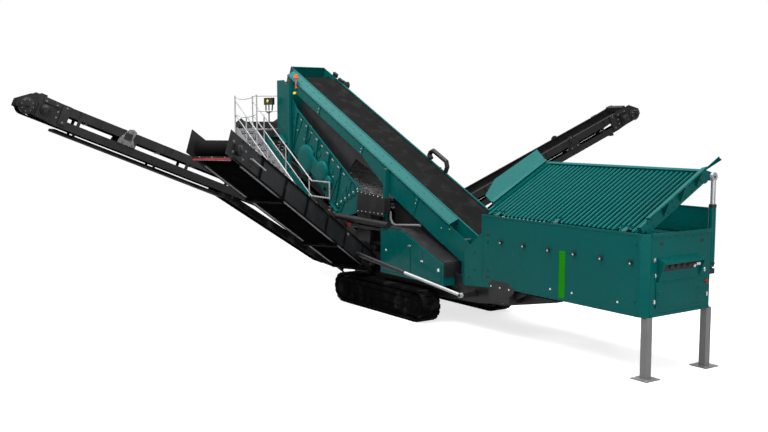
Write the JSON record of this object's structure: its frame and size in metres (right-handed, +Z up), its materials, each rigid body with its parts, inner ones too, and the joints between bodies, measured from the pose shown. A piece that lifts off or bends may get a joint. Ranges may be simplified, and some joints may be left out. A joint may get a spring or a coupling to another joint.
{
  "type": "tracked screening plant",
  "caption": "Tracked screening plant: feed hopper with tipping grid, main conveyor up to an inclined vibrating screen box, side and tail discharge conveyors, stairs.",
  "frame": {"origin": "middle of the box round the whole plant, on the ground under the tracks and feet", "axes": "+X along the plant from the screen to the hopper end, +Y to the far side, away from the two near side conveyors, +Z up"},
  "size_m": [18.2034, 19.0156, 6.5464],
  "materials": {
    "teal_paint": "semi-gloss teal paint",
    "black_paint": "satin black paint",
    "belt_rubber": "smooth belt rubber",
    "track_steel": "dark steel track shoes",
    "grey_paint": "grey paint",
    "deck_steel": "bare screen steel",
    "galvanised": "galvanised or bright steel",
    "lamp_plastic": "orange lamp lens"
  },
  "bodies": {
    "plant": {"chassis": "black_paint", "track_frames": "black_paint", "track_shoes_near": "track_steel", "track_shoes_far": "track_steel", "engine_housing": "teal_paint", "tank_housing": "teal_paint", "hopper_near_side": "teal_paint", "hopper_far_side": "teal_paint", "hopper_end_wall": "teal_paint", "hopper_liner": "teal_paint", "hopper_legs": "grey_paint", "feeder_frame": "black_paint", "feeder_belt": "belt_rubber", "control_box": "teal_paint", "grid_hinges": "black_paint", "ram_brackets": "black_paint", "main_frame_near": "teal_paint", "main_frame_far": "teal_paint", "main_cross_members": "black_paint", "main_belt": "belt_rubber", "main_head_hood": "teal_paint", "main_posts": "teal_paint", "inline_drums": "grey_paint", "screen_near_side": "teal_paint", "screen_far_side": "teal_paint", "screen_top_deck": "deck_steel", "screen_bottom_deck": "deck_steel", "screen_cross_tubes": "teal_paint", "screen_drive_guard": "teal_paint", "screen_feed_box": "teal_paint", "screen_springs": "grey_paint", "screen_chutes": "black_paint", "screen_subframe": "teal_paint", "tail_frame": "black_paint", "tail_belt": "belt_rubber", "rear_side_frame": "black_paint", "rear_side_belt": "belt_rubber", "front_side_frame": "black_paint", "front_side_belt": "belt_rubber", "far_side_frame": "black_paint", "far_side_belt": "belt_rubber", "side_drums": "grey_paint", "belt_scraper": "black_paint", "side_brackets": "black_paint", "strut_tube": "black_paint", "strut_rod": "galvanised", "walkways": "galvanised", "handrails": "galvanised", "beacon": "lamp_plastic"},
    "grid": {"tipping_grid": "teal_paint", "grid_wings": "teal_paint"},
    "ram_barrel": {"ram_barrels": "teal_paint"},
    "ram_rod": {"ram_rods": "galvanised"}
  },
  "joints": [
    {"name": "grid_tip", "type": "hinge", "parent": "plant", "child": "grid", "pos_m": [6.48173, -0.93289, 2.79], "axis": [1, 0, 0], "range_deg": [-11, 10]},
    {"name": "ram_swing", "type": "hinge", "parent": "plant", "child": "ram_barrel", "pos_m": [6.48173, 1.23211, 1.9], "axis": [1, 0, 0], "range_deg": [-6, 5.5]},
    {"name": "ram_slide", "type": "slide", "parent": "ram_barrel", "child": "ram_rod", "axis": [0, 0, 1], "range_m": [-0.42, 0.382]}
  ],
  "couplings": [
    {"joint": "ram_swing", "follows": "grid_tip", "ratio": 0.531},
    {"joint": "ram_slide", "follows": "grid_tip", "m_per_rad": 2.1667}
  ]
}
